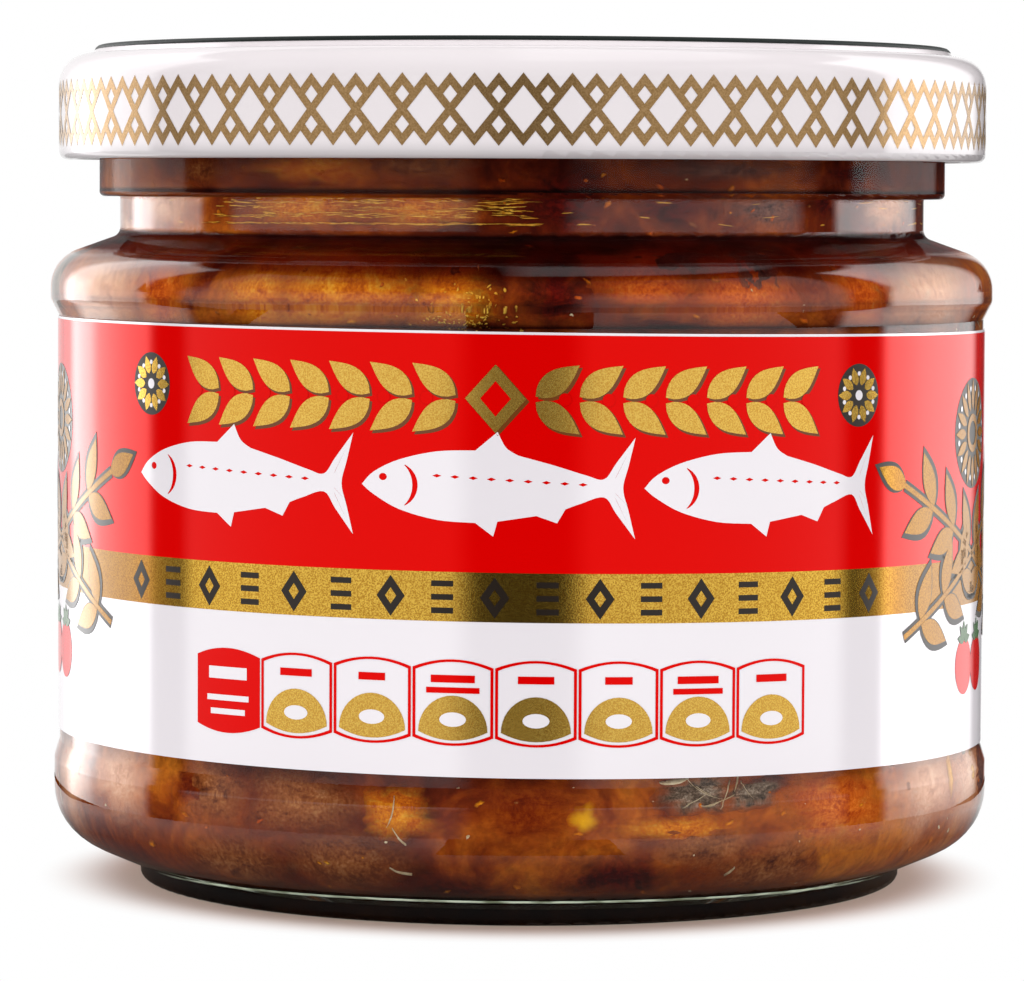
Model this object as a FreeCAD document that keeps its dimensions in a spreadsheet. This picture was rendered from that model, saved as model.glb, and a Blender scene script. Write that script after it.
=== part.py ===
"""Jar of sardines in sauce: a squat glass jar, its contents, a wrap-round label and a metal lid.

All pieces are turned about Z. The origin is the middle of the base, +Z is up, and sizes are in
millimetres.
"""
import FreeCAD, Part
import math
import os

import Sketcher

SHEET_NAME = "Sizes"
LUG_COUNT = 6

# Driving sizes, one spreadsheet cell each
SIZES = {
    # the two overall sizes
    "panel_radius": 42.9,  # glass under the label
    "glass_height": 75.6,  # from the base to the lip
    # glass, outside, from the base up
    "push_up": 1.6,  # depth of the hollow under the base
    "push_up_slope": 1.9,  # width of the slope at that hollow's edge
    "bearing_width": 2.0,  # the ring that the jar stands on
    "bearing_step": 1.5,  # height of the ring below the heel
    "bearing_round": 0.6,
    "heel_width": 7.5,  # from the label panel in to the ring
    "heel_rise": 3.5,  # climb of the heel from the ring to the lower bumper
    "heel_round": 5.5,
    "lower_bumper_height": 6.3,
    "lower_bumper_proud": 0.5,  # reach of the lower bumper past the label panel
    "upper_bumper_height": 3.6,
    "upper_bumper_proud": 0.8,
    "bumper_slope": 1.6,  # height of the slope from a bumper to the label panel
    "bumper_round": 1.0,
    "shoulder_rise": 2.3,  # climb of the shoulder slope to the neck
    "shoulder_round": 3.6,
    "neck_inset": 5.6,  # from the label panel in to the neck
    "neck_height": 3.5,
    "neck_round": 0.9,
    "bead_depth": 12.5,  # from the lip down to the lower face of the bead
    "bead_proud": 1.9,  # reach of the bead past the neck
    "bead_round": 0.5,
    "lip_round": 0.8,
    # glass, inside
    "side_wall": 2.4,
    "neck_wall": 2.3,
    "base_wall": 3.0,
    "floor_round": 6.5,
    "shoulder_wall": 2.1,  # thickness of glass above the inner shoulder
    "inner_shoulder_round": 3.0,
    "inner_neck_round": 2.0,
    # contents
    "head_space": 3.2,  # from the level of the sauce to the lid
    # label
    "label_margin_below": 0.7,  # bare glass of the panel below the label
    "label_margin_above": 0.5,
    "label_sheet": 0.12,
    # lid
    "lid_sheet": 0.3,
    "lid_overhang": 3.7,  # from the bead out to the skirt's face
    "lid_depth": 9.1,  # from the lip of the glass to the lower edge of the lid
    "lid_round": 2.7,
    "lid_rim_rise": 1.05,  # rise of the rim above the panel
    "lid_rim_slope": 1.2,
    "lid_rim_width": 3.5,
    "lid_rim_overlap": 0.1,  # reach of the rim past the bead
    "lid_rim_round": 0.45,
    "lid_shoulder_drop": 0.8,  # step from the rim down to the shoulder
    "lid_shoulder_slope": 0.6,
    "curl_width": 1.5,
    "curl_height": 1.6,
    "curl_round": 0.7,
    "button_radius": 12.0,  # the vacuum button in the middle of the lid
    "button_rise": 0.35,
    "button_slope": 1.5,
    "lug_length": 9.0,
    "lug_thickness": 0.8,
    "lug_clearance": 0.25,  # from a lug to the glass
}

# Places worked out from the driving sizes, as sums of their names
BEARING_OUTER = "panel_radius - heel_width"
BEARING_INNER = BEARING_OUTER + " - bearing_width"
LOWER_BUMPER = "panel_radius + lower_bumper_proud"
HEEL_TOP = "bearing_step + heel_rise"
LOWER_BUMPER_TOP = HEEL_TOP + " + lower_bumper_height"
PANEL_BOTTOM = LOWER_BUMPER_TOP + " + bumper_slope"
NECK = "panel_radius - neck_inset"
BEAD = NECK + " + bead_proud"
BEAD_BOTTOM = "glass_height - bead_depth"
NECK_BOTTOM = BEAD_BOTTOM + " - neck_height"
SHOULDER_EDGE = NECK_BOTTOM + " - shoulder_rise"
UPPER_BUMPER = "panel_radius + upper_bumper_proud"
UPPER_BUMPER_BOTTOM = SHOULDER_EDGE + " - upper_bumper_height"
PANEL_TOP = UPPER_BUMPER_BOTTOM + " - bumper_slope"
FLOOR = "push_up + base_wall"
INSIDE = "panel_radius - side_wall"
MOUTH = NECK + " - neck_wall"
LEVEL = "glass_height - head_space"
LABEL_FACE = "panel_radius + label_sheet"
LABEL_BOTTOM = PANEL_BOTTOM + " + label_margin_below"
LABEL_TOP = PANEL_TOP + " - label_margin_above"
SKIRT_OUTER = BEAD + " + lid_overhang"
SKIRT_INNER = SKIRT_OUTER + " - lid_sheet"
LID_BOTTOM = "glass_height - lid_depth"
CURL_INNER = SKIRT_OUTER + " - curl_width"
CURL_TOP = LID_BOTTOM + " + curl_height"
LUG_INNER = BEAD + " + lug_clearance"
LUG_OUTER = CURL_INNER + " + curl_round"
LID_PANEL = "glass_height + lid_sheet"
BUTTON_TOP = LID_PANEL + " + button_rise"
RIM_TOP = LID_PANEL + " + lid_rim_rise"
RIM_OUTER = BEAD + " + lid_rim_overlap"
RIM_INNER = RIM_OUTER + " - lid_rim_width"
LID_SHOULDER = RIM_TOP + " - lid_shoulder_drop"

# Corners of each section as radius, height and the size of its round, or None for a sharp corner
GLASS_OUTSIDE = (
    ("0", "push_up", None),
    (BEARING_INNER + " - push_up_slope", "push_up", None),
    (BEARING_INNER, "0", "bearing_round"),
    (BEARING_OUTER, "0", "bearing_round"),
    (BEARING_OUTER, "bearing_step", None),
    (LOWER_BUMPER, HEEL_TOP, "heel_round"),
    (LOWER_BUMPER, LOWER_BUMPER_TOP, "bumper_round"),
    ("panel_radius", PANEL_BOTTOM, None),
    ("panel_radius", PANEL_TOP, None),
    (UPPER_BUMPER, UPPER_BUMPER_BOTTOM, "bumper_round"),
    (UPPER_BUMPER, SHOULDER_EDGE, "shoulder_round"),
    (NECK, NECK_BOTTOM, "neck_round"),
    (NECK, BEAD_BOTTOM, None),
    (BEAD, BEAD_BOTTOM, "bead_round"),
    (BEAD, "glass_height", "lip_round"),
    ("0", "glass_height", None),
)
CAVITY_BELOW_MOUTH = (
    ("0", FLOOR, None),
    (INSIDE, FLOOR, "floor_round"),
    (INSIDE, SHOULDER_EDGE + " - shoulder_wall", "inner_shoulder_round"),
    (MOUTH, NECK_BOTTOM + " - shoulder_wall", "inner_neck_round"),
)
CAVITY = CAVITY_BELOW_MOUTH + ((MOUTH, "glass_height", None), ("0", "glass_height", None))
SAUCE = CAVITY_BELOW_MOUTH + ((MOUTH, LEVEL, None), ("0", LEVEL, None))
LABEL = (
    ("panel_radius", LABEL_BOTTOM, None),
    (LABEL_FACE, LABEL_BOTTOM, None),
    (LABEL_FACE, LABEL_TOP, None),
    ("panel_radius", LABEL_TOP, None),
)
LID = (
    ("0", "glass_height", None),
    (SKIRT_INNER, "glass_height", "lid_round"),
    (SKIRT_INNER, CURL_TOP, None),
    (CURL_INNER, CURL_TOP, "curl_round"),
    (CURL_INNER, LID_BOTTOM, "curl_round"),
    (SKIRT_OUTER, LID_BOTTOM, "curl_round"),
    (SKIRT_OUTER, LID_SHOULDER, "lid_round"),
    (RIM_OUTER + " + lid_shoulder_slope", LID_SHOULDER, None),
    (RIM_OUTER, RIM_TOP, "lid_rim_round"),
    (RIM_INNER, RIM_TOP, "lid_rim_round"),
    (RIM_INNER + " - lid_rim_slope", LID_PANEL, None),
    ("button_radius + button_slope", LID_PANEL, None),
    ("button_radius", BUTTON_TOP, None),
    ("0", BUTTON_TOP, None),
)


def amount(total):
    """The value in millimetres of a sum of sizes such as "panel_radius - side_wall"."""
    result = 0.0
    sign = 1.0
    for word in total.split():
        if word in ("+", "-"):
            sign = 1.0 if word == "+" else -1.0
        elif word != "0":
            result += sign * SIZES[word]
    return result


def formula(total):
    """The same sum as an expression on the spreadsheet's cells."""
    signs_and_zero = ("+", "-", "0")
    return " ".join(
        word if word in signs_and_zero else f"{SHEET_NAME}.{word}" for word in total.split()
    )


def add_sheet(doc):
    """Put every driving size in the spreadsheet, with its name beside it."""
    sheet = doc.addObject("Spreadsheet::Sheet", SHEET_NAME)
    for row, (name, size) in enumerate(SIZES.items(), start=1):
        sheet.set(f"A{row}", name)
        sheet.set(f"B{row}", str(size))
        sheet.setAlias(f"B{row}", name)
    doc.recompute()


def origin_feature(body, role):
    """The plane or axis of the body's own origin that has this role."""
    for feature in body.Origin.OriginFeatures:
        if feature.Role == role:
            return feature
    raise RuntimeError(f"{body.Label} has no {role}")


def add_body(doc, name):
    body = doc.addObject("PartDesign::Body", name)
    body.Label = name
    return body


def add_sketch(body, name, plane):
    sketch = body.newObject("Sketcher::SketchObject", name)
    sketch.AttachmentSupport = [(origin_feature(body, plane), "")]
    sketch.MapMode = "FlatFace"
    return sketch


def bind(sketch, kind, places, total):
    """Add a constraint whose size follows the spreadsheet."""
    number = sketch.addConstraint(Sketcher.Constraint(kind, *places, amount(total)))
    sketch.setExpression(f"Constraints[{number}]", formula(total))


def corner_round(before, corner, after, radius):
    """Where a round of this radius leaves the two straight sides, and the middle of its arc."""
    to_before = (before - corner).normalize()
    to_after = (after - corner).normalize()
    half_turn = to_before.getAngle(to_after) / 2
    start = corner + to_before * (radius / math.tan(half_turn))
    end = corner + to_after * (radius / math.tan(half_turn))
    inward = (to_before + to_after).normalize()
    middle = corner + inward * (radius / math.sin(half_turn) - radius)
    return start, middle, end


def place_corner(sketch, element, point, radius, height):
    """Fix a point of the sketch at a radius and height taken from the spreadsheet."""
    for kind, total in (("DistanceX", radius), ("DistanceY", height)):
        if total == "0":
            axis = -2 if kind == "DistanceX" else -1
            sketch.addConstraint(Sketcher.Constraint("PointOnObject", element, point, axis))
        else:
            bind(sketch, kind, (-1, 1, element, point), total)


def draw_section(sketch, corners):
    """Draw a closed section of straight sides, rounded at the corners that ask for it."""
    spots = [FreeCAD.Vector(amount(r), amount(z), 0) for r, z, _ in corners]
    count = len(corners)
    rounds = {}
    for i, (_, _, size) in enumerate(corners):
        if size:
            rounds[i] = corner_round(spots[i - 1], spots[i], spots[(i + 1) % count], amount(size))
    sides = []
    for i in range(count):
        following = (i + 1) % count
        start = rounds[i][2] if i in rounds else spots[i]
        end = rounds[following][0] if following in rounds else spots[following]
        sides.append(sketch.addGeometry(Part.LineSegment(start, end), False))
    for i, (radius, height, size) in enumerate(corners):
        side_before = sides[i - 1]
        side_after = sides[i]
        if i not in rounds:
            sketch.addConstraint(Sketcher.Constraint("Coincident", side_before, 2, side_after, 1))
            place_corner(sketch, side_after, 1, radius, height)
            continue
        corner = sketch.addGeometry(Part.Point(spots[i]), True)
        place_corner(sketch, corner, 1, radius, height)
        sketch.addConstraint(Sketcher.Constraint("PointOnObject", corner, 1, side_before))
        sketch.addConstraint(Sketcher.Constraint("PointOnObject", corner, 1, side_after))
        arc = sketch.addGeometry(Part.Arc(*rounds[i]), False)
        starts_the_arc = sketch.getPoint(arc, 1).distanceToPoint(rounds[i][0]) < 1e-6
        first, last = (1, 2) if starts_the_arc else (2, 1)
        sketch.addConstraint(Sketcher.Constraint("Tangent", side_before, 2, arc, first))
        sketch.addConstraint(Sketcher.Constraint("Tangent", arc, last, side_after, 1))
        bind(sketch, "Radius", (arc,), size)


def turn(body, kind, name, corners):
    """Turn a section about Z, as a solid (Revolution) or a cut (Groove)."""
    sketch = add_sketch(body, name + "Section", "XZ_Plane")
    draw_section(sketch, corners)
    feature = body.newObject(kind, name)
    feature.Profile = sketch
    feature.ReferenceAxis = (origin_feature(body, "Z_Axis"), [""])
    feature.Angle = 360.0
    body.Document.recompute()
    return feature


def add_glass_jar(doc):
    body = add_body(doc, "glass_jar")
    solid = turn(body, "PartDesign::Revolution", "Glass", GLASS_OUTSIDE)
    cut = turn(body, "PartDesign::Groove", "Cavity", CAVITY)
    if cut.Shape.Volume >= solid.Shape.Volume:
        raise RuntimeError("the cavity was not cut")
    return body


def add_contents(doc):
    body = add_body(doc, "contents")
    turn(body, "PartDesign::Revolution", "Filling", SAUCE)
    return body


def add_label(doc):
    body = add_body(doc, "label")
    turn(body, "PartDesign::Revolution", "Sleeve", LABEL)
    return body


def draw_lug(sketch):
    """Draw one lug: a rectangle across the X axis, from the curl to just clear of the glass."""
    near = amount(LUG_INNER)
    far = amount(LUG_OUTER)
    half = SIZES["lug_length"] / 2
    ring = [(near, -half), (far, -half), (far, half), (near, half)]
    spots = [FreeCAD.Vector(x, y, 0) for x, y in ring]
    for i, spot in enumerate(spots):
        sketch.addGeometry(Part.LineSegment(spot, spots[(i + 1) % len(spots)]), False)
    for i in range(len(spots)):
        sketch.addConstraint(Sketcher.Constraint("Coincident", i, 2, (i + 1) % len(spots), 1))
    for side in (0, 2):
        sketch.addConstraint(Sketcher.Constraint("Horizontal", side))
    sketch.addConstraint(Sketcher.Constraint("Vertical", 3))
    sketch.addConstraint(Sketcher.Constraint("Symmetric", 1, 1, 1, 2, -1))
    bind(sketch, "DistanceX", (-1, 1, 3, 1), LUG_INNER)
    bind(sketch, "DistanceX", (-1, 1, 1, 1), LUG_OUTER)
    bind(sketch, "DistanceY", (1, 1, 1, 2), "lug_length")


def add_lugs(body):
    """Six lugs, which reach in from the curl."""
    sketch = add_sketch(body, "LugSection", "XY_Plane")
    sketch.setExpression("AttachmentOffset.Base.z", formula(LID_BOTTOM + " + curl_round"))
    draw_lug(sketch)
    lug = body.newObject("PartDesign::Pad", "Lug")
    lug.Profile = sketch
    lug.setExpression("Length", formula("lug_thickness"))
    body.Document.recompute()
    ring = body.newObject("PartDesign::PolarPattern", "Lugs")
    ring.Originals = [lug]
    ring.Axis = (origin_feature(body, "Z_Axis"), [""])
    ring.Angle = 360.0
    ring.Occurrences = LUG_COUNT
    body.Tip = ring
    body.Document.recompute()


def add_lid(doc):
    body = add_body(doc, "lid")
    turn(body, "PartDesign::Revolution", "Cap", LID)
    add_lugs(body)
    return body


def check(doc, bodies):
    """Stop if any object failed or any piece is not one valid solid."""
    for item in doc.Objects:
        if "Invalid" in item.State or "Error" in item.State:
            raise RuntimeError(f"{item.Label} failed: {item.State}")
    for body in bodies:
        shape = body.Shape
        if shape.isNull() or not shape.isValid() or len(shape.Solids) != 1:
            raise RuntimeError(f"{body.Label} is not one valid solid")
        box = shape.BoundBox
        print(f"{body.Label}: {shape.Volume / 1000:.2f} cm3, z {box.ZMin:.2f} to {box.ZMax:.2f}")


def main():
    doc = FreeCAD.newDocument("SardineJar")
    add_sheet(doc)
    bodies = [add_glass_jar(doc), add_contents(doc), add_label(doc), add_lid(doc)]
    doc.recompute()
    check(doc, bodies)
    os.makedirs("parts", exist_ok=True)
    for body in bodies:
        body.Shape.exportStep(f"parts/{body.Label}.step")


main()
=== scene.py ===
"""Looks, light and camera for the jar of sardines in sauce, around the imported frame.

Angles go round the jar from the front (-Y), positive towards +X. Shapes are worked out in
millimetres and turned into metres by at().
"""
import math
import random
from math import cos, pi, radians, sin

import bmesh
import bpy
from mathutils import Euler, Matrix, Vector, noise


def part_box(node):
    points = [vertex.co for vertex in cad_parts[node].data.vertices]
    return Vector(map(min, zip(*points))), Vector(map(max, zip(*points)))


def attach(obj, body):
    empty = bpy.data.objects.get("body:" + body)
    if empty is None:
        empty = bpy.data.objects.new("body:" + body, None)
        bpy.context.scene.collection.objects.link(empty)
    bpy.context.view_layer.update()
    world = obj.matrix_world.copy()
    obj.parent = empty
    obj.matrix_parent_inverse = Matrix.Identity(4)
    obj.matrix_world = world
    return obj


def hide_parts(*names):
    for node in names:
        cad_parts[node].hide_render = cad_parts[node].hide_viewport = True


MM = 0.001
scene = bpy.context.scene
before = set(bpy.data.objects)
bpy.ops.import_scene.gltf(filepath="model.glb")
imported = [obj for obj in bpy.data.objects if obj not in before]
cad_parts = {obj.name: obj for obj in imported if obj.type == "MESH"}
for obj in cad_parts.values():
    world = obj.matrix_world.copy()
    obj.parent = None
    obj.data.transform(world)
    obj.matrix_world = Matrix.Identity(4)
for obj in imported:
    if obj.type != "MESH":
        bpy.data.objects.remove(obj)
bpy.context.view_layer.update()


def radius_mm(node):
    """How far a CAD node reaches from the jar's axis, in millimetres."""
    return (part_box(node)[1] / MM).x


STEP = radians(1)  # print and sleeve share this facet, so that they stay parallel


def at(angle, radius, z):
    """The point in metres at an angle round the jar, with radius and z in millimetres."""
    return Vector((sin(angle) * radius, -cos(angle) * radius, z)) * MM


# --- materials


def srgb(red, green, blue):
    """A linear colour from 0-255 display values."""
    def channel(value):
        share = value / 255
        return share / 12.92 if share <= 0.04045 else ((share + 0.055) / 1.055) ** 2.4
    return (channel(red), channel(green), channel(blue), 1.0)


RAMP_HEIGHT = 0.08  # how far up the jar, in metres, a ramp by height runs


class Shader:
    """The node tree of a material or a world, built up by short calls."""

    def __init__(self, name, kind="Material"):
        owners = bpy.data.worlds if kind == "World" else bpy.data.materials
        self.owner = owners.new(name)
        self.owner.use_nodes = True
        self.nodes = self.owner.node_tree.nodes
        self.links = self.owner.node_tree.links
        self.nodes.clear()
        self.output = self.nodes.new("ShaderNodeOutput" + kind)

    def add(self, kind, inputs=None, **settings):
        """A node with its settings. An input is a plain value or another node's socket."""
        node = self.nodes.new("ShaderNode" + kind)
        for key, value in settings.items():
            setattr(node, key, value)
        for key, value in (inputs or {}).items():
            if isinstance(value, bpy.types.NodeSocket):
                self.links.new(value, node.inputs[key])
            else:
                node.inputs[key].default_value = value
        return node

    def principled(self, **inputs):
        names = {key.replace("_", " "): value for key, value in inputs.items()}
        return self.add("BsdfPrincipled", names).outputs[0]

    def place(self):
        return self.add("TexCoord").outputs["Object"]

    def noise(self, scale, detail=3.0, rough=0.55, vector=None, distortion=0.0):
        settings = {"Vector": vector or self.place(), "Scale": scale, "Detail": detail,
                    "Roughness": rough, "Distortion": distortion}
        return self.add("TexNoise", settings).outputs["Fac"]

    def ramp(self, factor, stops):
        """Stops are (position, colour), where a plain number stands for a grey."""
        node = self.add("ValToRGB", {"Fac": factor})
        elements = node.color_ramp.elements
        while len(elements) < len(stops):
            elements.new(0.5)
        for element, (position, colour) in zip(elements, stops):
            element.position = position
            element.color = colour if isinstance(colour, tuple) else grey(colour)
        return node.outputs["Color"]

    def by_height(self, place, stops):
        """A ramp up the jar, with its stops as shares of RAMP_HEIGHT."""
        z = self.add("SeparateXYZ", {0: place}).outputs[2]
        return self.ramp(self.times(z, 1 / RAMP_HEIGHT), stops)

    def mix(self, factor, first, second, blend="MIX"):
        inputs = {0: factor, 6: first, 7: second}
        return self.add("Mix", inputs, data_type="RGBA", blend_type=blend).outputs[2]

    def math(self, operation, first, second=0.0):
        return self.add("Math", {0: first, 1: second}, operation=operation).outputs[0]

    def times(self, first, second):
        return self.math("MULTIPLY", first, second)

    def inverse(self, value):
        return self.math("SUBTRACT", 1.0, value)

    def between(self, value, low, high, first=0.0, last=1.0, kind="LINEAR"):
        """Runs from first to last while value runs from low to high."""
        inputs = {"Value": value, 1: low, 2: high, 3: first, 4: last}
        return self.add("MapRange", inputs, interpolation_type=kind).outputs[0]

    def azimuth(self, axes):
        """The angle round the jar from the front, of a point or a direction."""
        back = self.times(axes.outputs[1], -1.0)
        return self.math("ARCTAN2", axes.outputs[0], back)

    def mirrored(self, path):
        """1 for a ray that gloss or glass sends on, and 0 for any other."""
        return self.math("MAXIMUM", path.outputs["Is Glossy Ray"],
                         path.outputs["Is Transmission Ray"])

    def bump(self, height, strength, distance):
        settings = {"Height": height, "Strength": strength, "Distance": distance}
        return self.add("Bump", settings).outputs["Normal"]

    def close(self, surface):
        self.links.new(surface, self.output.inputs["Surface"])
        return self.owner


def grey(value):
    return (value, value, value, 1.0)


def ink(name, colour, roughness=0.1, tint=(1, 1, 1, 1), level=0.5, index=1.5):
    """Printed gloss paper: fine grain, a faint drift of colour and a light orange peel."""
    s = Shader(name)
    low = tuple(channel * 0.97 for channel in colour[:3]) + (1,)
    cloud = s.noise(90, 4)
    base = s.mix(cloud, low, colour)
    grain = s.noise(2600, 2)
    normal = s.bump(s.mix(0.7, grain, s.noise(220, 2)), 0.10, 0.00002)
    body = s.principled(Base_Color=base, Roughness=roughness, Specular_IOR_Level=level,
                        IOR=index, Specular_Tint=tint, Normal=normal)
    return s.close(body)


# painted shade on the foil at the jar's brightly lit sides
PAINTED_SIDE_SHADE = (0.50, 0.36, 0.30, 1)  # how much of its colour the foil keeps at the jar's sides
SIDE_GLOSS = (1, 0.78, 0.30, 1)  # tint of what the foil mirrors where it is least like metal


def foil(name, colour, dark, roughness, metal, sides=None):
    """Gold foil or metallic ink with a fine grain.

    Given sides, shade is painted on it there: darker, less like metal, down to that share of metal.
    """
    s = Shader(name)
    grain = s.noise(7500, 1)
    base = s.mix(s.ramp(grain, [(0.38, 0), (0.62, 1)]), dark, colour)
    base = s.mix(s.ramp(s.noise(160, 3), [(0.3, 0), (0.8, 0.25)]), base, dark)
    gloss = grey(1)
    if sides is not None:
        # stops by degrees from the front, as a share of half a turn
        axes = s.add("SeparateXYZ", {0: s.place()})
        share = s.math("DIVIDE", s.math("ABSOLUTE", s.azimuth(axes)), pi)
        metal = s.ramp(share, [(42 / 180, metal), (53 / 180, sides),
                               (92 / 180, sides), (115 / 180, 0.6 * metal)])
        # painted shade: the foil's colour is darkened towards the jar's sides
        side_shade = s.ramp(share, [(42 / 180, 1), (50 / 180, PAINTED_SIDE_SHADE), (92 / 180, PAINTED_SIDE_SHADE),
                              (115 / 180, 1)])
        base = s.mix(1.0, base, side_shade, "MULTIPLY")
        gloss = SIDE_GLOSS
    body = s.principled(Base_Color=base, Roughness=roughness, Metallic=metal,
                        Specular_Tint=gloss, Normal=s.bump(grain, 0.25, 0.00001))
    return s.close(body)


def clear_glass():
    """Jar glass, faintly green, that lets lamp light through to the contents."""
    s = Shader("clear_glass_look")
    place = s.place()
    ripple = s.noise(34, 2, 0.55, place)
    # painted shade: the slope under the neck and the bead under the lid mirror next to nothing
    gloss = s.by_height(place, [
        (0.7235, 1), (0.7285, 0.12), (0.7490, 0.12), (0.7540, 1),
        (0.7860, 1), (0.7900, 0.22)])
    normal = s.bump(ripple, 0.25, 0.0006)
    colour = (0.955, 0.985, 0.97, 1)
    body = s.principled(Base_Color=colour, Roughness=0.008, IOR=1.5, Transmission_Weight=1.0,
                        Normal=normal)
    bent = s.add("BsdfRefraction", {"Color": colour, "Roughness": 0.008, "IOR": 1.5,
                                    "Normal": normal})
    body = s.add("MixShader", {0: gloss, 1: bent.outputs[0], 2: body})
    clear = s.add("BsdfTransparent", {"Color": (0.95, 0.985, 0.965, 1)})
    path = s.add("LightPath")
    passes = s.math("MAXIMUM", path.outputs["Is Shadow Ray"], path.outputs["Is Diffuse Ray"])
    mixed = s.add("MixShader", {0: passes, 1: body.outputs[0], 2: clear.outputs[0]})
    return s.close(mixed.outputs[0])


def enamel():
    """White lid enamel over sheet steel, with painted shade greying it where the skirt turns under.
    """
    s = Shader("lid_enamel_look")
    place = s.place()
    base = s.mix(s.noise(60, 3, 0.55, place), srgb(227, 219, 222), srgb(232, 225, 227))
    z = s.add("SeparateXYZ", {0: place}).outputs[2]
    # painted shade: darker towards the bottom of the skirt, where it turns under
    low = s.between(z, 0.0665, 0.0682, 0.66, 1.0, "SMOOTHSTEP")
    base = s.mix(1.0, base, s.ramp(low, [(0.0, 0), (1.0, 1)]), "MULTIPLY")
    peel = s.bump(s.noise(900, 2), 0.08, 0.00004)
    body = s.principled(Base_Color=base, Roughness=0.08, Specular_IOR_Level=0.5, IOR=1.5,
                        Normal=peel)
    return s.close(body)


def sauce_colour(s, place):
    """Mottled sauce, as (colour, relief), the same in every material that fades into it."""
    broad = s.noise(48, 3, 0.5, place, 0.6)
    middle = s.noise(210, 5, 0.62, place, 0.8)
    fine = s.noise(1300, 4, 0.7, place)
    value = s.math("ADD", s.times(broad, 0.6), s.times(middle, 0.4))
    base = s.ramp(value, [(0.36, srgb(70, 14, 3)), (0.44, srgb(112, 36, 7)),
                          (0.50, srgb(144, 60, 12)), (0.56, srgb(174, 84, 18)),
                          (0.64, srgb(206, 116, 28))])
    speck = s.ramp(fine, [(0.42, 0), (0.62, 1)])
    base = s.mix(s.times(speck, 0.30), base, srgb(66, 24, 8))
    return base, s.mix(0.4, middle, fine)


def with_painted_shade(s, place, base):
    """Paints shade on the contents in bands by height, for what the bent glass before them does."""
    shade = s.by_height(place, [
        (0.054, (0.04, 0.07, 0.04, 1)), (0.060, 0.40), (0.085, 0.75),
        (0.125, 1), (0.647, 1), (0.650, (0.12, 0.06, 0.05, 1)),
        (0.657, (0.12, 0.06, 0.05, 1)), (0.661, 0.75), (0.674, 0.85),
        (0.677, (0.45, 0.30, 0.25, 1)), (0.680, (0.95, 0.85, 0.7, 1)), (0.690, (1, 0.9, 0.7, 1)),
        (0.700, (0.22, 0.05, 0.04, 1)), (0.742, (0.09, 0.02, 0.02, 1)),
        (0.750, (1, 0.9, 0.8, 1)), (0.789, (1, 0.9, 0.8, 1)),
        (0.791, (0.10, 0.04, 0.03, 1)), (0.7975, (0.10, 0.04, 0.03, 1)),
        (0.801, (0.8, 0.65, 0.5, 1)), (0.84, (0.5, 0.35, 0.28, 1))])
    return s.mix(1.0, base, shade, "MULTIPLY")


def sauce_look():
    """Tomato sauce with flakes of fish in it, mottled from maroon to amber."""
    s = Shader("sauce_look")
    place = s.place()
    base, relief = sauce_colour(s, place)
    body = s.principled(Base_Color=with_painted_shade(s, place, base), Roughness=0.5,
                        Specular_IOR_Level=0.05, Normal=s.bump(relief, 0.5, 0.0004))
    return s.close(body)


def flesh_look(name, stops, scale=420, rough=0.5, metal=0.0, level=0.05, soft=0.75):
    """Flesh, skin or clots with fine flakes, fading into the sauce at their rims.

    Each stop is (position, red, green, blue).
    """
    s = Shader(name)
    place = s.place()
    stretch = s.add("Mapping", {"Vector": place, "Scale": (1.0, 1.0, 2.0)})
    streak = s.noise(scale, 5, 0.68, stretch.outputs[0], 0.8)
    fine = s.noise(scale * 8, 3, 0.75)
    value = s.math("ADD", s.times(streak, 0.62), s.times(fine, 0.38))
    base = s.ramp(value, [(position, srgb(*colour)) for position, *colour in stops])
    sauce, _ = sauce_colour(s, place)
    rim = s.add("Attribute", attribute_name="rim").outputs["Fac"]
    rim = s.math("ADD", rim, s.times(s.math("SUBTRACT", streak, 0.5), 0.9))
    fade = s.between(rim, 0.85 - soft, 0.85, kind="SMOOTHSTEP")
    base = with_painted_shade(s, place, s.mix(fade, base, sauce))
    body = s.principled(Base_Color=base, Roughness=rough, Metallic=metal,
                        Specular_IOR_Level=level, Normal=s.bump(value, 0.6, 0.0004))
    return s.close(body)


# --- meshes


def piece(name, mesh, material, slot, smooth=True):
    """Links a mesh as a piece of the object that rides on the one body."""
    thing = bpy.data.objects.new(name, mesh)
    scene.collection.objects.link(thing)
    mesh.materials.append(material)
    if smooth:
        mesh.shade_smooth()
    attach(thing, "root")
    return thing


def new_mesh(name, verts, faces):
    mesh = bpy.data.meshes.new(name)
    mesh.from_pydata(verts, [], faces)
    return mesh


def turned(name, profile, angles):
    """A closed mesh turned round Z from a closed outline of (radius, z) in millimetres."""
    verts = [at(angle, radius, z) for angle in angles for radius, z in profile]
    count, faces = len(profile), []
    for k in range(len(angles)):
        here, there = k * count, (k + 1) % len(angles) * count
        for j in range(count):
            i = (j + 1) % count
            faces.append((here + j, there + j, there + i, here + i))
    mesh = new_mesh(name, verts, faces)
    mesh.validate()
    return mesh


def full_round(step=STEP):
    return [k * step for k in range(round(2 * pi / step))]


def rounded(corners, pieces=8):
    """A line through (radius, z, round) corners, each inner one rounded by its own radius."""
    line = []
    for k, (r, z, turn) in enumerate(corners):
        here = Vector((r, z))
        if not turn or k in (0, len(corners) - 1):
            line.append(here)
            continue
        back = (Vector(corners[k - 1][:2]) - here).normalized()
        on = (Vector(corners[k + 1][:2]) - here).normalized()
        half = back.angle(on) / 2
        reach = turn / math.tan(half)
        centre = here + (back + on).normalized() * (turn / sin(half))
        start, end = here + back * reach - centre, here + on * reach - centre
        sweep = start.angle(end)
        for j in range(pieces + 1):
            share = j / pieces
            mixed = start * sin((1 - share) * sweep) + end * sin(share * sweep)
            line.append(centre + mixed / sin(sweep))
    return [(point.x, point.y) for point in line]


# --- print


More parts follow.
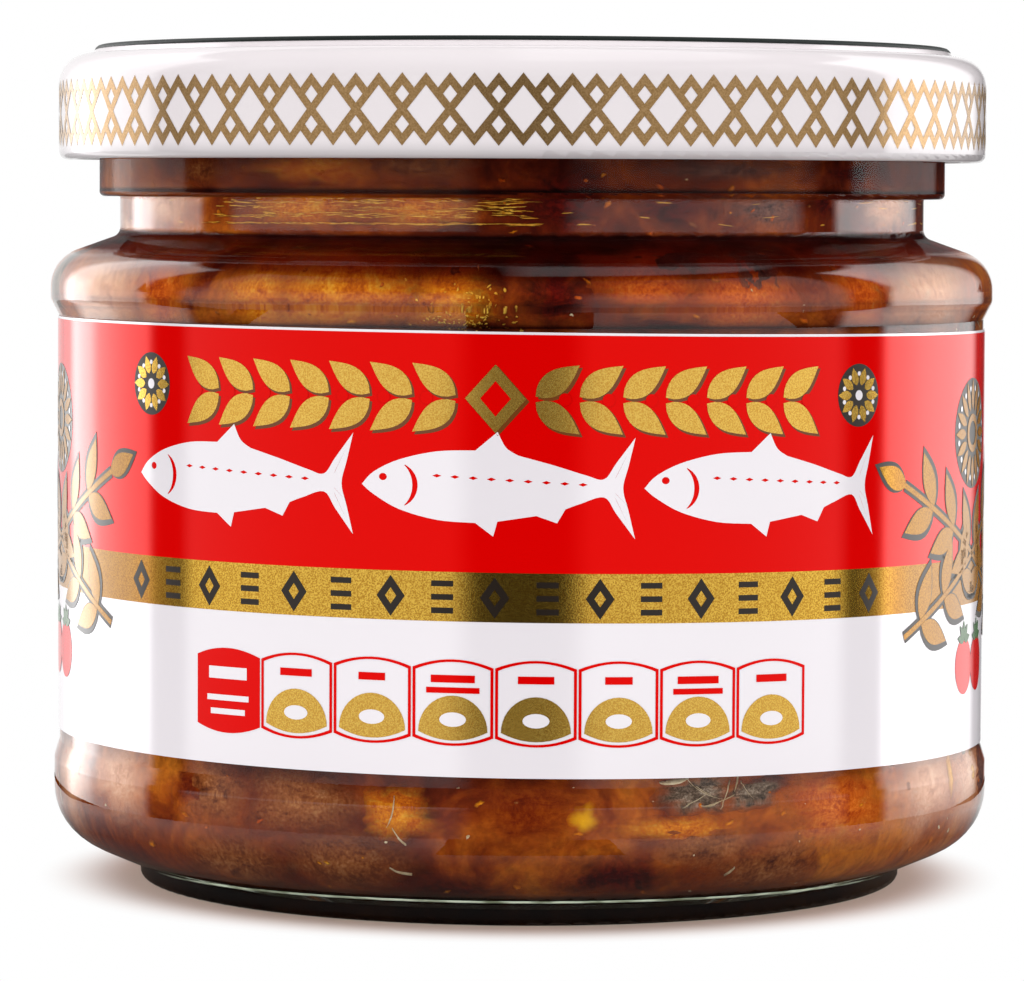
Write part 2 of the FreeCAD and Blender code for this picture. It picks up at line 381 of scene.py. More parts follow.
class Face:
    """A turned face that print is laid on. Print is drawn flat, as (arc, height) in mm."""

    def __init__(self, radius, slot, ink, lean=(0.0, 0.0), turn=0.0):
        self.radius, self.slot, self.ink = radius, slot, ink
        self.lean, self.turn = lean, turn

    def at(self, arc, z, lift):
        angle = arc / self.radius + self.turn
        point = at(angle, self.radius + lift, z)
        point.z += self.lean[0] * point.x + self.lean[1] * point.y
        return point

    def lay(self, name, groups, material, layer):
        """Lays groups of outlines on the face as one piece, that many layers of ink high."""
        flat = joined(groups)
        step = STEP * self.radius
        offset = self.turn * self.radius
        arcs = [v.co.x + offset for v in flat.verts]
        for k in range(math.ceil(min(arcs) / step), math.floor(max(arcs) / step) + 1):
            everything = flat.verts[:] + flat.edges[:] + flat.faces[:]
            bmesh.ops.bisect_plane(flat, geom=everything, dist=1e-5,
                                   plane_co=(k * step - offset, 0, 0), plane_no=(1, 0, 0))
        bmesh.ops.triangulate(flat, faces=[f for f in flat.faces if len(f.verts) > 4])
        normals = []
        for vert in flat.verts:
            angle = vert.co.x / self.radius + self.turn
            normals.append((sin(angle), -cos(angle), 0.0))
            vert.co = self.at(vert.co.x, vert.co.y, layer * self.ink)
        mesh = bpy.data.meshes.new(name)
        flat.to_mesh(mesh)
        flat.free()
        piece(name, mesh, material, self.slot)
        mesh.normals_split_custom_set_from_vertices(normals)


def filled(outlines):
    """A flat mesh inside the outlines, with the outlines inside others as holes."""
    curve = bpy.data.curves.new("outline", "CURVE")
    curve.dimensions = "2D"
    curve.fill_mode = "BOTH"
    for outline in outlines:
        spline = curve.splines.new("POLY")
        spline.points.add(len(outline) - 1)
        for point, (arc, z) in zip(spline.points, outline):
            point.co = (arc, z, 0, 1)
        spline.use_cyclic_u = True
    carrier = bpy.data.objects.new("outline", curve)
    mesh = bpy.data.meshes.new_from_object(carrier)
    flat = bmesh.new()
    flat.from_mesh(mesh)
    bpy.data.objects.remove(carrier)
    bpy.data.curves.remove(curve)
    bpy.data.meshes.remove(mesh)
    bmesh.ops.recalc_face_normals(flat, faces=flat.faces[:])
    if not flat.faces or flat.faces[0].normal.z <= 0:
        bmesh.ops.reverse_faces(flat, faces=flat.faces[:])
    return flat


def joined(groups):
    """Flat meshes of several groups of outlines, each filled on its own, as one."""
    whole = bmesh.new()
    for group in groups:
        part = filled(group)
        mesh = bpy.data.meshes.new("part")
        part.to_mesh(mesh)
        part.free()
        whole.from_mesh(mesh)
        bpy.data.meshes.remove(mesh)
    return whole


def oval(u, z, across, up, count=40):
    """An oval outline of half-widths across and up round (u, z)."""
    angles = [2 * pi * k / count for k in range(count)]
    return [(u + across * cos(a), z + up * sin(a)) for a in angles]


def block(left, low, right, high):
    return [(left, low), (right, low), (right, high), (left, high)]


def moved(outline, u, z, size=1.0, turn=0.0, flip=1):
    """A copy of an outline, scaled, turned and put at (u, z)."""
    c, s = cos(turn) * size, sin(turn) * size
    return [(u + x * flip * c - y * s, z + x * flip * s + y * c) for x, y in outline]


def spun(x, y, turn):
    """A flat point turned round the origin."""
    return (x * cos(turn) - y * sin(turn), x * sin(turn) + y * cos(turn))


def lozenge(u, z, across, up):
    return [(u - across, z), (u, z - up), (u + across, z), (u, z + up)]


# --- camera, fitted to the curves of the label, the lid and the heel

camera = bpy.data.cameras.new("camera")
camera.lens = 176.9
camera.sensor_width = 36
camera.clip_start = 0.01
camera.clip_end = 20
viewer = bpy.data.objects.new("camera", camera)
viewer.location = (-0.00082, -0.4691, 0.06394)
tilt = Euler((radians(90 - 3.432), 0, 0)).to_matrix()
viewer.rotation_euler = (tilt @ Euler((0, 0, 0.0044)).to_matrix()).to_euler()
scene.collection.objects.link(viewer)
scene.camera = viewer
scene.view_settings.view_transform = "Standard"

# --- surroundings


def make_world():
    """White for the camera, a studio of soft boxes for gloss and glass, else an even light."""
    s = Shader("studio", "World")
    axes = s.add("SeparateXYZ", {0: s.add("TexCoord").outputs["Generated"]})
    share = s.math("ADD", s.math("DIVIDE", s.azimuth(axes), 2 * pi), 0.5)
    # (degrees round from the front, brightness) of what gloss and glass show, low and higher
    level_boxes = [
        (-180, 0.9), (-158, 0.95), (-149, 1.5), (-143, 4.8), (-132, 4.9), (-127, 3.0),
        (-112, 2.5), (-104, 2.4), (-101, 0.02), (-91, 0.02), (-87, 0.9), (-68, 0.9),
        (-50, 0.85), (-17, 0.8), (-11, 0.01), (11, 0.01), (17, 0.8), (50, 0.85), (82, 1.0),
        (87, 0.02), (98, 0.02), (101, 3.8), (116, 3.6), (131, 2.4), (147, 1.5), (153, 0.04),
        (166, 0.04), (171, 0.9), (180, 0.9)]
    upper_boxes = [
        (-180, 0.8), (-158, 0.9), (-149, 1.4), (-143, 3.4), (-132, 3.5), (-127, 2.8),
        (-112, 2.3), (-105, 2.2), (-101, 0.02), (-86, 0.02), (-80, 0.55), (-62, 0.35),
        (-48, 0.10), (-11, 0.03), (11, 0.03), (30, 0.12), (60, 0.45), (82, 0.8), (87, 0.02),
        (99, 0.02), (103, 3.4), (116, 3.1), (131, 2.1), (147, 1.3), (153, 0.04), (166, 0.04),
        (171, 0.9), (180, 0.9)]

    brightest = 5.0  # a ramp holds up to 1, so brightness goes into it as a share of this

    def around(boxes):
        return s.ramp(share, [((d + 180) / 360, b / brightest) for d, b in boxes])

    rise = s.math("ARCSINE", axes.outputs[2])
    upper = s.between(rise, radians(5), radians(13))
    bright = s.mix(upper, around(level_boxes), around(upper_boxes))
    # half as bright under the table's edge, dark above the boxes, a lit ceiling at the right
    under = s.inverse(s.between(rise, radians(-7.0), radians(-6.5)))
    bright = s.times(bright, s.inverse(s.times(under, 0.5)))
    box_top = s.inverse(s.between(rise, radians(43), radians(46)))
    bright = s.times(bright, s.times(box_top, brightest))
    overhead = s.times(s.between(rise, radians(56), radians(60)),
                      s.between(axes.outputs[0], -0.06, 0.02))
    bright = s.math("ADD", bright, s.times(overhead, 0.9))
    path = s.add("LightPath")
    mirrored = s.mirrored(path)
    seen = path.outputs["Is Camera Ray"]
    diffuse = 0.5
    level = s.math("ADD", s.times(mirrored, bright),
                   s.times(s.inverse(mirrored), diffuse))
    level = s.math("ADD", seen, s.times(s.inverse(seen), level))
    background = s.add("Background", {"Color": (1, 1, 1, 1), "Strength": level})
    scene.world = s.close(background.outputs[0])


def lamp(name, azimuth, height, distance, size, energy):
    """A soft box that looks at the jar's middle and isn't mirrored in it."""
    light = bpy.data.lights.new(name, "AREA")
    light.shape = "RECTANGLE"
    light.size, light.size_y = size
    light.energy = energy
    thing = bpy.data.objects.new(name, light)
    thing.location = at(radians(azimuth), distance, height)
    aim = Vector((0, 0, 0.04)) - thing.location
    thing.rotation_euler = aim.to_track_quat("-Z", "Y").to_euler()
    thing.visible_glossy = False
    thing.visible_transmission = False
    thing.visible_camera = False
    scene.collection.objects.link(thing)


FOOT = 0.036  # where the floor comes out from under the jar, in metres from its axis


def make_floor():
    """A pale disc that keeps the jar's soft shadow and runs out into white."""
    s = Shader("floor_look")
    axes = s.add("SeparateXYZ", {0: s.place()})
    flat = s.add("CombineXYZ", {0: axes.outputs[0], 1: axes.outputs[1]})
    far = s.add("VectorMath", {0: flat.outputs[0]}, operation="LENGTH").outputs["Value"]
    # painted shadow colour: the floor is tinted pink-brown near the jar
    painted_tint_fade = s.between(far, FOOT, 0.060)
    colour = s.mix(painted_tint_fade, (0.86, 0.64, 0.57, 1), (0.92, 0.92, 0.92, 1))
    path = s.add("LightPath")
    mirrored = s.mirrored(path)
    seen = s.math("MAXIMUM", path.outputs["Is Camera Ray"], mirrored)
    # painted shade: gloss sees the floor's lit body darkened, which shows near the jar
    colour = s.mix(s.times(mirrored, 0.85), colour, (0.02, 0.015, 0.01, 1))
    body = s.add("BsdfDiffuse", {"Color": colour})
    # gloss shows the studio's dark front in the floor too, a painted shadow near the jar, and a
    # dark edge further out
    front = s.azimuth(axes)
    window = s.times(s.math("GREATER_THAN", front, radians(-12)),
                    s.math("LESS_THAN", front, radians(15)))
    window = s.times(window, s.math("GREATER_THAN", far, 0.053))
    floor_lit_in_gloss = s.between(far, 0.046, 0.066, 0.10, 0.8)
    lit = s.inverse(s.math("MAXIMUM", window, s.math("GREATER_THAN", far, 0.092)))
    shown = s.times(mirrored, s.inverse(s.times(floor_lit_in_gloss, lit)))
    white = s.add("Emission", {"Color": (1, 1, 1, 1), "Strength": s.inverse(shown)})
    out = s.between(far, FOOT, 0.0455, kind="SMOOTHSTEP")
    share = s.times(s.math("MAXIMUM", seen, 0.7), out)
    mixed = s.add("MixShader", {0: share, 1: body.outputs[0], 2: white.outputs[0]})
    beyond = s.times(s.math("MAXIMUM", mirrored, path.outputs["Is Shadow Ray"]),
                    s.math("GREATER_THAN", far, 0.096))
    clear = s.add("BsdfTransparent")
    mixed = s.add("MixShader", {0: beyond, 1: mixed.outputs[0], 2: clear.outputs[0]})
    material = s.close(mixed.outputs[0])
    bpy.ops.mesh.primitive_circle_add(vertices=96, radius=0.24, fill_type="NGON")
    floor = bpy.context.object
    floor.name = "floor"
    floor.location.z = -0.00005
    floor.data.materials.append(material)


make_world()
lamp("key_left", -52, 330, 800, (0.5, 0.6), 2.35)
lamp("key_right", 52, 330, 800, (0.5, 0.6), 2.35)
lamp("top", 0, 900, 120, (0.6, 0.6), 3.0)
lamp("back_left", -125, 330, 800, (0.5, 0.6), 2.6)
lamp("back_right", 125, 330, 800, (0.5, 0.6), 2.6)
make_floor()

# --- glass and lid


def dress(node, material):
    """Gives a CAD node its finish."""
    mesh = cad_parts[node].data
    mesh.materials.clear()
    mesh.materials.append(material)


dress("glass_jar", clear_glass())
dress("lid", enamel())

LID_RADIUS = radius_mm("lid")
lid_face = Face(LID_RADIUS, "lid_enamel", 0.02)
GOLD_INK = foil("gold_ink_look", srgb(180, 144, 98), srgb(146, 112, 66), 0.25, 0.6)


def lattice(low, high, count):
    """Outlines of a band of crossing strokes: one outer zigzag pair and its lozenge holes."""
    period = 2 * pi * LID_RADIUS / count
    middle, half, width = (low + high) / 2, (high - low) / 2, 0.85
    slope = 2 * half / (period + width)
    big, gap = half - width * slope, width * slope / 2
    small = (half - width * slope - gap) / 2
    valley = half - slope * period / 4
    outlines = []
    first = -count / 2
    top, bottom = [], []
    for k in range(2 * count):
        u = (first + k / 2) * period
        top += [(u, middle + half), (u + period / 4, middle + valley)]
        bottom += [(u, middle - half), (u + period / 4, middle - valley)]
    end = (first + count) * period
    outlines.append(top + [(end, middle + half), (end, middle - half)] + bottom[::-1])
    for k in range(count):
        u = (first + k + 0.5) * period
        outlines.append(lozenge(u, middle, big / slope, big))
        if k:
            for side in (-1, 1):
                outlines.append(lozenge(u - period / 2, middle + side * (gap + small),
                                        small / slope, small))
    return outlines


lid_face.lay("lid_lattice", [lattice(67.55, 73.75, 65)], GOLD_INK, 1)

RIM_LINE = [(38.80, 76.98), (39.08, 76.985), (39.30, 76.925), (39.47, 76.80), (39.62, 76.60),
            (39.42, 76.56), (39.2, 76.75), (38.8, 76.85)]
rim_line = turned("lid_rim_line", RIM_LINE[::-1], full_round())
piece("lid_rim_line", rim_line, ink("rim_line_look", srgb(30, 36, 34), 0.5, level=0.2),
      "lid_enamel")

# --- contents

REACH = 0.3  # how far the contents reach into the glass
WALL = rounded([(20.0, 4.6, 0), (40.5, 4.6, 6.5), (40.5, 55.2, 3.0), (35.0, 57.5, 2.0),
                (35.0, 72.4, 0)])
SIDE_LOW = 11.1  # where the side wall begins, above the rounded floor
FACE = 40.8  # radius of the contents' face at the side wall


def pushed(line, reach):
    """The line of the glass's inner face, pushed out by reach."""
    out = []
    for k, (r, z) in enumerate(line):
        before, after = line[max(k - 1, 0)], line[min(k + 1, len(line) - 1)]
        along = Vector((after[0] - before[0], after[1] - before[1])).normalized()
        out.append((r + along.y * reach, z - along.x * reach))
    return out


def fine_line(line, step):
    """The same line with points no further apart than step."""
    fine = []
    for (r0, z0), (r1, z1) in zip(line, line[1:]):
        parts = max(1, math.ceil(math.hypot(r1 - r0, z1 - z0) / step))
        fine += [(r0 + (r1 - r0) * j / parts, z0 + (z1 - z0) * j / parts) for j in range(parts)]
    return fine + [line[-1]]


class Wall:
    """The contents' face against the glass, measured up it in mm from where the side begins."""

    def __init__(self):
        self.line = [Vector(point) for point in fine_line(pushed(WALL, REACH), 0.6)]
        self.runs = [0.0]
        for here, there in zip(self.line, self.line[1:]):
            self.runs.append(self.runs[-1] + (there - here).length)
        start = min(range(len(self.line)), key=lambda k: abs(self.line[k].y - SIDE_LOW))
        self.base = self.runs[start]

    def at(self, angle, up, out):
        """The point at an angle, up the wall, and out into the glass."""
        run = min(max(up + self.base, 0.0), self.runs[-1] - 1e-6)
        k = max(j for j in range(len(self.runs)) if self.runs[j] <= run)
        k = min(k, len(self.line) - 2)
        here, there = self.line[k], self.line[k + 1]
        along = (there - here).normalized()
        point = here + along * (run - self.runs[k])
        return at(angle, point.x + along.y * out, point.y - along.x * out)


wall = Wall()


def sauce_body():
    """The filling as one turned body with a fine relief."""
    rows = [(point.x, point.y) for point in wall.line]
    angles = full_round(radians(1.2))
    low, high = 4.6 - REACH, 72.4
    verts, faces = [at(0, 0, low)], []
    for angle in angles:
        for r, z in rows:
            bump = noise.noise(at(angle, r, z) * 260)
            verts.append(at(angle, r + 0.12 * bump, z))
    verts.append(at(0, 0, high))
    count = len(rows)
    for k in range(len(angles)):
        here, there = 1 + k * count, 1 + (k + 1) % len(angles) * count
        faces.append((0, there, here))
        for j in range(count - 1):
            faces.append((here + j, there + j, there + j + 1, here + j + 1))
        faces.append((here + count - 1, there + count - 1, len(verts) - 1))
    mesh = new_mesh("sauce_body", verts, faces)
    thing = piece("sauce_body", mesh, sauce_look(), "fish_in_sauce")
    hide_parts("contents")


class Heap:
    """One kind of scattered thing, gathered into one mesh."""

    def __init__(self, name, material):
        self.name, self.material = name, material
        self.verts, self.faces, self.rims = [], [], []

    def patch(self, angle, up, across, tall, out=0.16, ragged=0.25, spokes=30, rings=6,
              turn=0.0, seed=0):
        """A lens of flesh pressed on the glass: out at its middle, sunk at its ragged rim."""
        first = len(self.verts)
        self.verts.append(wall.at(angle, up, out))
        self.rims.append(0.0)
        for ring in range(1, rings + 1):
            share = ring / rings
            for k in range(spokes):
                a = 2 * pi * k / spokes
                wave = noise.noise(Vector((cos(a) * 1.4, sin(a) * 1.4, seed * 7.3)))
                wave += 0.5 * noise.noise(Vector((cos(a) * 4, sin(a) * 4, seed * 3.1)))
                size = share * (1 + ragged * wave * 1.6)
                x, y = spun(across * size * cos(a), tall * size * sin(a), turn)
                relief = 0.05 * noise.noise(Vector((x, y, seed * 1.7)) * 0.9)
                lift = out - (out + 0.22) * share ** 5 + relief
                self.verts.append(wall.at(angle + x / FACE, up + y, lift))
                self.rims.append(share)
        for k in range(spokes):
            j = (k + 1) % spokes
            self.faces.append((first, first + 1 + k, first + 1 + j))
            for ring in range(rings - 1):
                here, there = first + 1 + ring * spokes, first + 1 + (ring + 1) * spokes
                self.faces.append((here + k, there + k, there + j, here + j))

    def strand(self, angle, up, length, width, turn, bend=0.3, out=0.2, parts=8):
        """A thin bone or thread lying on the contents' face, tapered to both ends."""
        first = len(self.verts)
        for k in range(parts + 1):
            share = k / parts - 0.5
            x = length * share
            x, y = spun(x, bend * length * (share * share - 0.25), turn)
            half = width * (0.25 + 0.75 * cos(pi * share)) / 2
            sx, sy = -sin(turn) * half, cos(turn) * half
            self.verts.append(wall.at(angle + (x + sx) / FACE, up + y + sy, -0.1))
            self.verts.append(wall.at(angle + x / FACE, up + y, out))
            self.verts.append(wall.at(angle + (x - sx) / FACE, up + y - sy, -0.1))
            self.rims += [0.0, 0.0, 0.0]
        for k in range(parts):
            here = first + 3 * k
            for side in (0, 1, 2):
                j = (side + 1) % 3
                self.faces.append((here + side, here + j, here + 3 + j, here + 3 + side))
        self.faces.append((first, first + 2, first + 1))
        last = first + 3 * parts
        self.faces.append((last, last + 1, last + 2))

    def make(self):
        mesh = new_mesh(self.name, self.verts, self.faces)
        mesh.attributes.new("rim", "FLOAT", "POINT").data.foreach_set("value", self.rims)
        shape = bmesh.new()
        shape.from_mesh(mesh)
        bmesh.ops.recalc_face_normals(shape, faces=shape.faces[:])
        shape.to_mesh(mesh)
        shape.free()
        piece(self.name, mesh, self.material, "fish_in_sauce")


# kind: (name of its look, stops of colour, then the settings of flesh_look in turn)
FLESH = {
    "amber": ("amber_flesh_look", [
        (0.34, 140, 54, 4), (0.45, 192, 92, 8), (0.54, 222, 130, 18), (0.66, 244, 180, 60)]),
    "brown": ("brown_flesh_look", [
        (0.34, 70, 26, 10), (0.45, 116, 56, 24), (0.54, 150, 84, 42), (0.66, 192, 130, 82)]),
    "skin": ("silver_skin_look", [
        (0.36, 34, 22, 16), (0.46, 88, 66, 50), (0.55, 136, 112, 94), (0.68, 214, 196, 178)],
        700, 0.4, 0.2, 0.3, 0.5),
    "clot": ("clot_look", [
        (0.36, 34, 3, 2), (0.48, 66, 6, 3), (0.58, 100, 12, 4), (0.70, 132, 34, 8)], 300),
    "orange": ("orange_flesh_look", [
        (0.34, 134, 38, 6), (0.46, 184, 74, 12), (0.56, 216, 106, 26), (0.68, 238, 156, 78)]),
    "bone": ("bone_look", [(0.4, 196, 160, 116), (0.6, 232, 212, 180)], 500, 0.5, 0.0, 0.05, 0.1),
    "oil": ("oil_look", [(0.35, 196, 120, 4), (0.6, 226, 164, 14)], 160, 0.15, 0.0, 0.05, 0.7),
    "ember": ("ember_look", [(0.36, 88, 20, 2), (0.50, 118, 38, 3), (0.68, 160, 72, 10)], 300),
    "mauve": ("mauve_flesh_look", [
        (0.36, 60, 32, 34), (0.48, 98, 60, 56), (0.58, 132, 88, 78), (0.70, 176, 130, 112)], 600),
    "pale": ("pale_flesh_look", [
        (0.34, 170, 96, 62), (0.46, 206, 138, 100), (0.56, 226, 168, 134), (0.68, 240, 198, 172)]),
    # painted glints: bright gold stands in for highlights on streaks of oil
    "glint": ("oil_glint_look", [
        (0.38, 206, 128, 20), (0.60, 250, 202, 84)], 500, 0.3, 0.0, 0.05, 0.3),
}


def front_pieces(heaps):
    """What the photo shows at the front: (kind, degrees, up, across, tall), and any turn."""
    shown = [
        # the pale pieces at the jar's far sides are painted light, lightening the contents where
        # the side lights fall
        # against the shoulder
        ("amber", -22, 44.5, 13, 5.5), ("amber", -33, 44.2, 5, 4.5), ("amber", -9, 43.5, 7, 3.6),
        ("clot", 4, 44, 4.4, 6.0), ("ember", -41, 44.6, 2.2, 6.0, -0.8), ("orange", -49, 44, 5, 5),
        ("pale", -62, 44.5, 9, 6), ("orange", 15, 45, 8, 4.4), ("orange", 27, 44, 9, 4.6),
        ("mauve", 19, 46.3, 5, 1.6), ("mauve", 30, 45.3, 3.4, 2.6, 0.3),
        ("ember", 36.5, 44.4, 1.8, 5.0, 0.9), ("orange", 45, 44.5, 6, 4.4),
        ("pale", 60, 44.5, 12, 6), ("clot", 17, 41.4, 5, 1.0),
        # in the neck and behind the bead
        ("amber", -32, 54.0, 10, 2.6), ("amber", -14, 54.0, 9, 2.6), ("pale", -62, 54.2, 9, 2.8),
        ("clot", 6, 54.4, 7, 5.5), ("clot", 20, 54.0, 8, 2.6), ("mauve", 36, 54.0, 8, 2.4),
        ("clot", 47, 54.5, 2.6, 2.2), ("pale", 64, 54.2, 8, 2.8), ("brown", -50, 57.3, 6, 1.8),
        ("amber", -30, 57.4, 11, 1.8), ("brown", -14, 57.6, 8, 1.5), ("mauve", 28, 57.4, 12, 1.5),
        ("clot", 52, 57.2, 6, 1.8),
        # against the heel
        ("ember", 1, -0.4, 7.5, 5.0), ("amber", -15, -0.8, 5, 3.6), ("brown", -27, 0.0, 9, 4.6),
        ("brown", -40, 0.2, 7, 4.4), ("ember", -44, 0.3, 3.4, 2.4), ("brown", -22, -5, 10, 3.4),
        ("pale", -58, 0.3, 7, 5), ("pale", -73, 0, 8, 7), ("brown", -38, -5.4, 9, 3.2),
        ("brown", 23, -3.6, 9, 2.4), ("amber", 19, -2.0, 8, 1.6), ("skin", 21.5, 0.9, 5.4, 2.1),
        ("skin", 29, 0.7, 3.6, 1.7, 0.2), ("orange", 42, -1.0, 9, 4.4),
        ("brown", 33, -5.4, 10, 3.0), ("pale", 60, 0, 9, 6), ("pale", 74, 0, 8, 7),
        ("clot", 12, -6.0, 9, 3.0), ("clot", -9, -7.6, 9, 2.4), ("oil", 7.6, -1.0, 1.7, 1.7),
        ("oil", 66, 0.6, 0.9, 4.0),
    ]
    for k, (kind, degrees, up, across, tall, *turn) in enumerate(shown):
        heaps[kind].patch(radians(degrees), up, across, tall, turn=sum(turn), seed=k + 1,
                          out=0.24 if kind in ("oil", "skin") else 0.17)
    bones = [(18.5, 2.2, 2.6, 0.9, 0.1), (21.5, 1.6, 3.0, 0.28, -0.7), (22.5, 1.0, 3.4, 0.25, -0.5),
             (25, 0.8, 2.6, 0.24, 1.2), (24, 0.2, 3.2, 0.26, 0.2), (26.5, 1.8, 2.0, 0.22, 1.4),
             (21, 0.3, 2.4, 0.22, 0.4), (28, 1.0, 2.2, 0.2, -1.0), (-15.5, -0.6, 2.6, 0.3, 1.3),
             (-14.5, -2.6, 1.8, 0.28, -0.9), (-14.8, -5.4, 2.0, 0.3, -0.25),
             (27, -5.6, 1.0, 0.25, 0.7)]
    for degrees, up, length, width, turn in bones:
        heaps["bone"].strand(radians(degrees), up, length, width, turn, out=0.34)


def scattered_pieces(heaps):
    """The same kinds all the way round the back and sides, in no order."""
    dice = random.Random(11)

    def behind():
        """Degrees round the jar, anywhere but at the front."""
        return 72 + 216 * dice.random()

    kinds = "brown orange amber clot ember orange skin amber mauve pale".split()
    for k in range(150):
        degrees = behind()
        band = dice.choice((0, 0, 1, 1, 2, 3))
        up = (dice.uniform(-6, 3), dice.uniform(40, 49), dice.uniform(50, 60),
              dice.uniform(3, 40))[band]
        kind = dice.choice(kinds)
        across, tall = dice.uniform(3, 9), dice.uniform(1.4, 3.8)
        if kind == "skin":
            across, tall = across * 0.6, tall * 0.5
        heaps[kind].patch(radians(degrees), up, across, tall, out=0.12 + 0.08 * dice.random(),
                          turn=dice.uniform(-0.4, 0.4), seed=k + 60)
    for _ in range(70):
        degrees = behind()
        up = dice.choice((dice.uniform(-6, 3), dice.uniform(42, 49), dice.uniform(3, 42)))
        heaps["bone"].strand(radians(degrees), up, dice.uniform(1, 3.4), dice.uniform(0.18, 0.32),
                             dice.uniform(-1.6, 1.6), dice.uniform(-0.5, 0.5), 0.3)
    for k in range(14):
        heaps["oil"].patch(radians(behind()), dice.uniform(-4, 3),
                           dice.uniform(0.6, 2), dice.uniform(0.6, 1.6), 0.2, 0.1, seed=k + 300)


def painted_glints(heaps):
    """Oil in fine level streaks along the neck, thickest at the front left, as painted glints."""
    dice = random.Random(3)
    for k in range(420):
        near = k < 300
        degrees = dice.uniform(-49, 1) if near else dice.uniform(-180, 180)
        row = dice.choice((52.65, 52.65, 53.4, 54.0, 54.6, 55.1))
        up = row + dice.uniform(-0.05, 0.05) * (1 if row < 53 else 5)
        heaps["glint"].patch(radians(degrees), up, dice.uniform(0.3, 2.0), dice.uniform(0.03, 0.09),
                             0.26, 0.8, 14, 2, dice.uniform(-0.09, 0.09), k + 900)
    for k in range(110):
        heaps["glint"].patch(radians(dice.gauss(-6.5, 3.0)), dice.gauss(42.4, 0.9),
                             dice.uniform(0.10, 0.30), dice.uniform(0.06, 0.16), 0.26, 0.7, 10, 2,
                             dice.uniform(-1, 1), k + 1200)


def crumbs(heaps):
    """Small flakes of flesh and skin all over the face of the sauce."""
    dice = random.Random(5)
    for k in range(420):
        kind = dice.choice(("amber", "amber", "brown", "orange", "amber", "bone"))
        up = dice.choice((dice.uniform(-8, 3), dice.uniform(40, 50), dice.uniform(50, 60)))
        size = dice.uniform(0.12, 0.5) * (0.4 if kind == "bone" else 1)
        heaps[kind].patch(dice.uniform(-pi, pi), up, size * 1.5, size * 0.8, 0.24,
                          0.5, 10, 2, dice.uniform(-0.6, 0.6), k + 500)


sauce_body()
heaps = {kind: Heap("fish_" + kind, flesh_look(*look)) for kind, look in FLESH.items()}
front_pieces(heaps)
scattered_pieces(heaps)
painted_glints(heaps)
crumbs(heaps)
for heap in heaps.values():
    heap.make()


def painted_base_glint():
    """A painted ring of light in the thick glass base under the contents, glowing by itself."""
    s = Shader("base_glint_look")
    wave = s.noise(420, 2)
    colour = s.ramp(wave, [(0.35, srgb(120, 128, 104)), (0.6, srgb(214, 226, 206))])
    # the ring glows by its own emission: painted light, not a lamp
    body = s.principled(Base_Color=colour, Roughness=0.4, Emission_Color=colour,
                        Emission_Strength=0.55)
    ring = turned("painted_base_glint", block(33.6, 4.05, 34.5, 4.2), full_round())
    piece("painted_base_glint", ring, s.close(body), "clear_glass")


painted_base_glint()

# --- label

LABEL_RADIUS = radius_mm("label")
LABEL_LEAN = (-0.0105, -0.0045)  # the label sits a little askew on the jar
LABEL_TURN = radians(-3)  # its middle faces a little to the left
label = Face(LABEL_RADIUS, "label_paper", 0.015, LABEL_LEAN, LABEL_TURN)
HALF_ROUND = pi * LABEL_RADIUS
BOTTOM, GOLD_LOW, GOLD_HIGH, TOP = 13.62, 26.93, 31.15, 51.63

WHITE = ink("label_white_look", srgb(240, 234, 239), 0.09, level=0.85, index=1.8)
RED = ink("label_red_look", srgb(222, 1, 1), 0.09, (1, 0.05, 0.04, 1), 0.85, 1.8)
GOLD = foil("label_gold_look", srgb(250, 204, 88), srgb(196, 144, 50), 0.12, 0.95, 0.1)
BRIGHT_GOLD = foil("label_bright_gold_look", srgb(252, 208, 100), srgb(226, 172, 70), 0.2, 0.8)
DARK = ink("label_dark_look", srgb(34, 24, 16), 0.3)


def label_sleeve():
    inner = LABEL_RADIUS - 0.10
    loop = [(LABEL_RADIUS, BOTTOM), (LABEL_RADIUS, TOP), (inner, TOP), (inner, BOTTOM)]
    mesh = turned("label_sleeve", loop, full_round())
    for vert in mesh.vertices:
        vert.co.z += LABEL_LEAN[0] * vert.co.x + LABEL_LEAN[1] * vert.co.y
    thing = piece("label_sleeve", mesh, WHITE, "label_paper", smooth=False)
    mesh.shade_smooth()
    mesh.set_sharp_from_angle(angle=radians(30))
    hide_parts("label")


label_sleeve()
label.lay("label_red_field", [[block(-HALF_ROUND, GOLD_HIGH, HALF_ROUND, TOP - 0.22)]], RED, 1)
label.lay("label_gold_band", [[block(-HALF_ROUND, GOLD_LOW, HALF_ROUND, GOLD_HIGH)]], GOLD, 1)


def smooth(points, parts=5):
    """A closed curve through points; a point given with a third value is a sharp corner."""
    out, count = [], len(points)
    for k in range(count):
        p0, p1, p2, p3 = (points[(k + j) % count] for j in (-1, 0, 1, 2))
        if len(p1) > 2:
            p0 = p1
        if len(p2) > 2:
            p3 = p2
        for j in range(parts):
            t = j / parts
            weights = (-t + 2 * t * t - t ** 3, 2 - 5 * t * t + 3 * t ** 3,
                       t + 4 * t * t - 3 * t ** 3, t ** 3 - t * t)
            out.append(tuple(sum(w * p[i] for w, p in zip(weights, (p0, p1, p2, p3))) / 2
                             for i in (0, 1)))
    return out


